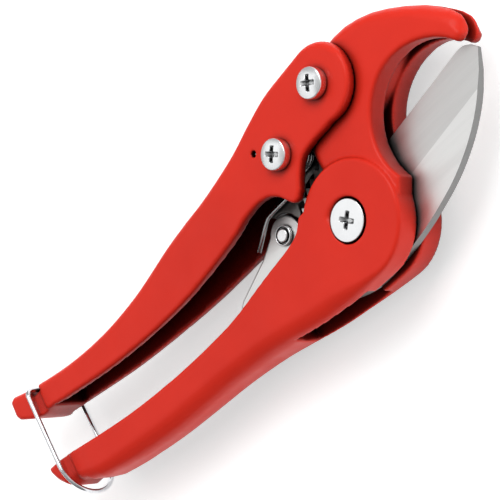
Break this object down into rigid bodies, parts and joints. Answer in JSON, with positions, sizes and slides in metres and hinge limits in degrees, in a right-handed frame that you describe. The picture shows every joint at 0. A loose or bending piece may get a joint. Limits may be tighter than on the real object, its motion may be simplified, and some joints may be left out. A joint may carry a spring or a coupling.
{
  "type": "ratchet pipe cutter",
  "caption": "Hand ratchet cutter for plastic pipe: hooked jaw with round seat, pivoting blade, two hollow handles, pawls and a wire lock ring.",
  "frame": {"origin": "centre of the bounding box in plan, on the plane that the pivot nuts rest on", "axes": "+X along the handles towards the jaw, +Z through the tool's thickness, up from the bench as it lies on its nuts"},
  "size_m": [0.2248, 0.0718, 0.0338],
  "materials": {
    "red_paint": "gloss",
    "blade_steel": "satin",
    "zinc_plate": "polished",
    "dark_steel": "satin",
    "spring_wire": "satin"
  },
  "bodies": {
    "jaw_body": {"jaw_body": "red_paint", "main_screw": "zinc_plate", "main_bush": "dark_steel", "main_washer": "zinc_plate", "main_nut": "zinc_plate", "blade_washers": "zinc_plate", "blade_spring": "spring_wire", "catch_rivet": "zinc_plate", "catch_spring": "spring_wire"},
    "lever": {"upper_handle": "red_paint", "handle_screw": "zinc_plate", "handle_bush": "dark_steel", "handle_nut": "zinc_plate", "pawl_screw": "zinc_plate", "pawl_bush": "dark_steel", "pawl_nut": "zinc_plate", "drive_pawl_spring": "spring_wire", "handle_spring": "spring_wire"},
    "drive_pawl": {"drive_pawl": "dark_steel"},
    "blade": {"blade": "blade_steel"},
    "catch_pawl": {"catch_pawl": "blade_steel"},
    "lock_ring": {"lock_ring": "spring_wire"}
  },
  "joints": [
    {"name": "lever_pivot", "type": "hinge", "parent": "jaw_body", "child": "lever", "pos_m": [0.0631, 0.02335, 0.017], "axis": [0, 0, 1], "range_deg": [-28, 0]},
    {"name": "drive_pawl_pivot", "type": "hinge", "parent": "lever", "child": "drive_pawl", "pos_m": [0.0394, 0.01455, 0.017], "axis": [0, 0, 1], "range_deg": [0, 60]},
    {"name": "blade_pivot", "type": "hinge", "parent": "jaw_body", "child": "blade", "pos_m": [0.0481, -0.01595, 0.017], "axis": [0, 0, 1], "range_deg": [-50, 16]},
    {"name": "catch_pivot", "type": "hinge", "parent": "jaw_body", "child": "catch_pawl", "pos_m": [0.0189, -0.00075, 0.017], "axis": [0, 0, 1], "range_deg": [-12, 0]},
    {"name": "ring_swing", "type": "hinge", "parent": "lever", "child": "lock_ring", "pos_m": [-0.0996, 0.01925, 0.017], "axis": [0, 0, 1], "range_deg": [-250, 0]}
  ],
  "couplings": [
    {"joint": "drive_pawl_pivot", "follows": "lever_pivot", "ratio": -2.1},
    {"joint": "ring_swing", "follows": "lever_pivot", "ratio": 8.9}
  ]
}
